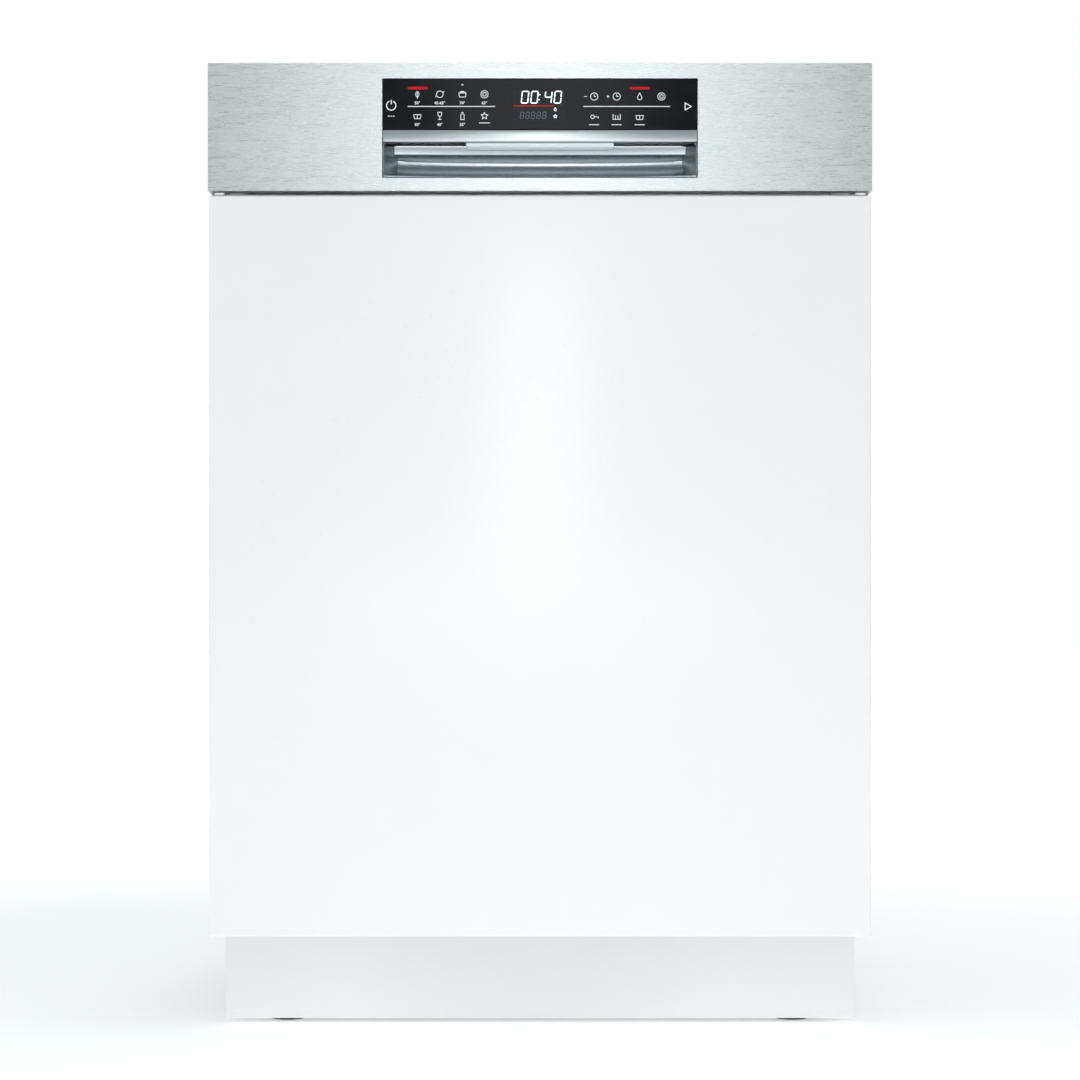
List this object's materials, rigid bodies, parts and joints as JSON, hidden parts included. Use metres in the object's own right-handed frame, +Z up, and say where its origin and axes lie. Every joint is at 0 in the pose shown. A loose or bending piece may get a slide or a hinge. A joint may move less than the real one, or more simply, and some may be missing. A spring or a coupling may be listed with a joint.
{
  "type": "built-in dishwasher",
  "caption": "Built-in dishwasher, 598 mm wide, with a brushed steel fascia over a white furniture panel, an opening door, two baskets and a cutlery drawer.",
  "frame": {"origin": "on the floor, under the middle of the machine's width and depth", "axes": "+X to the right seen from the front, +Y towards the back wall, +Z up; the door faces -Y"},
  "size_m": [0.598, 0.573, 0.89],
  "materials": {
    "brushed_steel": "horizontal brushed stainless steel",
    "tub_steel": "smooth stainless sheet",
    "galvanised": "zinc-coated sheet",
    "trim_silver": "satin silver",
    "white_lacquer": "white lacquer on board",
    "control_glass": "black gloss with white and red prints",
    "grey_plastic": "moulded grey",
    "pale_plastic": "moulded pale grey",
    "black_plastic": "moulded black",
    "circuit_board": "green lacquered board",
    "rubber_seal": "soft grey-black",
    "bitumen_mat": "felt-faced bitumen",
    "coated_wire": "nylon-coated"
  },
  "bodies": {
    "root": {"tub": "tub_steel", "tub_gasket": "rubber_seal", "base_tray": "grey_plastic", "kick_plate": "white_lacquer", "hinge_bracket_left": "galvanised", "hinge_bracket_right": "galvanised", "hinge_spring_left": "galvanised", "hinge_spring_right": "galvanised", "top_traverse": "galvanised", "insulation_mat": "bitumen_mat", "back_panel": "galvanised", "water_tank": "pale_plastic", "sump": "grey_plastic", "filter_plate": "tub_steel", "circulation_pump": "black_plastic", "drain_pump": "black_plastic", "softener": "pale_plastic", "inlet_valve": "pale_plastic", "riser_pipe": "grey_plastic", "ceiling_spray_head": "grey_plastic", "rail_outer_left": "tub_steel", "rail_outer_right": "tub_steel", "drawer_guide_left": "grey_plastic", "drawer_guide_right": "grey_plastic"},
    "door": {"furniture_panel": "white_lacquer", "door_outer": "galvanised", "door_liner": "tub_steel", "fascia": "brushed_steel", "control_glass": "control_glass", "control_board": "circuit_board", "trim_bar": "trim_silver", "grip_pocket": "trim_silver", "door_lock": "black_plastic", "dispenser_body": "grey_plastic", "hinge_arm_left": "galvanised", "hinge_arm_right": "galvanised"},
    "paddle": {"release_paddle": "grey_plastic"},
    "detergent_lid_body": {"detergent_lid": "pale_plastic"},
    "rinse_flap_body": {"rinse_aid_flap": "pale_plastic"},
    "lower_basket_body": {"lower_basket": "coated_wire", "cutlery_basket": "grey_plastic"},
    "upper_basket_body": {"upper_basket": "coated_wire", "spray_duct": "grey_plastic"},
    "runners": {"rail_runner_left": "tub_steel", "rail_runner_right": "tub_steel"},
    "cutlery_drawer_body": {"cutlery_drawer": "grey_plastic"},
    "cup_shelf_body": {"cup_shelf": "grey_plastic"},
    "lower_arm": {"lower_spray_arm": "grey_plastic"},
    "upper_arm": {"upper_spray_arm": "grey_plastic"},
    "filter": {"filter_cylinder": "grey_plastic"},
    "salt_cap_body": {"salt_cap": "grey_plastic"},
    "tines_left": {"tine_row_left": "coated_wire"},
    "tines_right": {"tine_row_right": "coated_wire"},
    "foot_fl": {"foot_front_left": "black_plastic"},
    "foot_fr": {"foot_front_right": "black_plastic"},
    "foot_r": {"foot_rear": "black_plastic"},
    "wheel_fl": {"wheel_front_left": "grey_plastic"},
    "wheel_fr": {"wheel_front_right": "grey_plastic"},
    "wheel_rl": {"wheel_rear_left": "grey_plastic"},
    "wheel_rr": {"wheel_rear_right": "grey_plastic"}
  },
  "joints": [
    {"name": "door_hinge", "type": "hinge", "parent": "root", "child": "door", "pos_m": [0, -0.24, 0.16], "axis": [1, 0, 0], "range_deg": [0, 90], "stiffness_Nm_per_rad": 32},
    {"name": "release_paddle_tilt", "type": "hinge", "parent": "door", "child": "paddle", "pos_m": [0, -0.2715, 0.8215], "axis": [-1, 0, 0], "range_deg": [0, 12], "stiffness_Nm_per_rad": 0.2},
    {"name": "detergent_lid_slide", "type": "slide", "parent": "door", "child": "detergent_lid_body", "axis": [0, 0, -1], "range_m": [0, 0.06]},
    {"name": "rinse_flap_hinge", "type": "hinge", "parent": "door", "child": "rinse_flap_body", "pos_m": [0.068, -0.2046, 0.4705], "axis": [1, 0, 0], "range_deg": [0, 90]},
    {"name": "lower_basket_slide", "type": "slide", "parent": "root", "child": "lower_basket_body", "axis": [0, -1, 0], "range_m": [0, 0.215]},
    {"name": "upper_basket_slide", "type": "slide", "parent": "root", "child": "upper_basket_body", "axis": [0, -1, 0], "range_m": [0, 0.42]},
    {"name": "runner_slide", "type": "slide", "parent": "root", "child": "runners", "axis": [0, -1, 0], "range_m": [0, 0.21]},
    {"name": "cutlery_drawer_slide", "type": "slide", "parent": "root", "child": "cutlery_drawer_body", "axis": [0, -1, 0], "range_m": [0, 0.4]},
    {"name": "lower_arm_spin", "type": "hinge", "parent": "root", "child": "lower_arm", "pos_m": [0, 0.023, 0.2125], "axis": [0, 0, 1], "continuous": true},
    {"name": "upper_arm_spin", "type": "hinge", "parent": "upper_basket_body", "child": "upper_arm", "pos_m": [0, 0.02, 0.496], "axis": [0, 0, 1], "continuous": true},
    {"name": "filter_turn", "type": "hinge", "parent": "root", "child": "filter", "pos_m": [0.07, -0.06, 0.121], "axis": [0, 0, 1], "range_deg": [0, 90]},
    {"name": "salt_cap_turn", "type": "hinge", "parent": "root", "child": "salt_cap_body", "pos_m": [-0.17, -0.11, 0.1895], "axis": [0, 0, 1], "range_deg": [0, 360]},
    {"name": "tine_fold_left", "type": "hinge", "parent": "lower_basket_body", "child": "tines_left", "pos_m": [-0.1, 0.075, 0.2745], "axis": [0, -1, 0], "range_deg": [0, 88]},
    {"name": "tine_fold_right", "type": "hinge", "parent": "lower_basket_body", "child": "tines_right", "pos_m": [0.1, 0.075, 0.2745], "axis": [0, 1, 0], "range_deg": [0, 88]},
    {"name": "cup_shelf_fold", "type": "hinge", "parent": "upper_basket_body", "child": "cup_shelf_body", "pos_m": [-0.233, -0.01, 0.645], "axis": [0, -1, 0], "range_deg": [0, 85]},
    {"name": "foot_front_left_turn", "type": "hinge", "parent": "root", "child": "foot_fl", "pos_m": [-0.24, -0.12, 0], "axis": [0, 0, 1], "continuous": true},
    {"name": "foot_front_right_turn", "type": "hinge", "parent": "root", "child": "foot_fr", "pos_m": [0.24, -0.12, 0], "axis": [0, 0, 1], "continuous": true},
    {"name": "foot_rear_turn", "type": "hinge", "parent": "root", "child": "foot_r", "pos_m": [0, 0.24, 0], "axis": [0, 0, 1], "continuous": true},
    {"name": "wheel_fl_roll", "type": "hinge", "parent": "lower_basket_body", "child": "wheel_fl", "pos_m": [-0.2515, -0.05, 0.206], "axis": [1, 0, 0], "range_deg": [0, 770]},
    {"name": "wheel_fr_roll", "type": "hinge", "parent": "lower_basket_body", "child": "wheel_fr", "pos_m": [0.2515, -0.05, 0.206], "axis": [1, 0, 0], "range_deg": [0, 770]},
    {"name": "wheel_rl_roll", "type": "hinge", "parent": "lower_basket_body", "child": "wheel_rl", "pos_m": [-0.2515, 0.17, 0.206], "axis": [1, 0, 0], "range_deg": [0, 770]},
    {"name": "wheel_rr_roll", "type": "hinge", "parent": "lower_basket_body", "child": "wheel_rr", "pos_m": [0.2515, 0.17, 0.206], "axis": [1, 0, 0], "range_deg": [0, 770]}
  ],
  "couplings": [
    {"joint": "lower_basket_slide", "follows": "door_hinge", "m_per_rad": 0.1368},
    {"joint": "upper_basket_slide", "follows": "door_hinge", "m_per_rad": 0.2673},
    {"joint": "runner_slide", "follows": "door_hinge", "m_per_rad": 0.13365},
    {"joint": "cutlery_drawer_slide", "follows": "door_hinge", "m_per_rad": 0.2546},
    {"joint": "wheel_fl_roll", "follows": "door_hinge", "ratio": 8.55},
    {"joint": "wheel_fr_roll", "follows": "door_hinge", "ratio": 8.55},
    {"joint": "wheel_rl_roll", "follows": "door_hinge", "ratio": 8.55},
    {"joint": "wheel_rr_roll", "follows": "door_hinge", "ratio": 8.55}
  ]
}
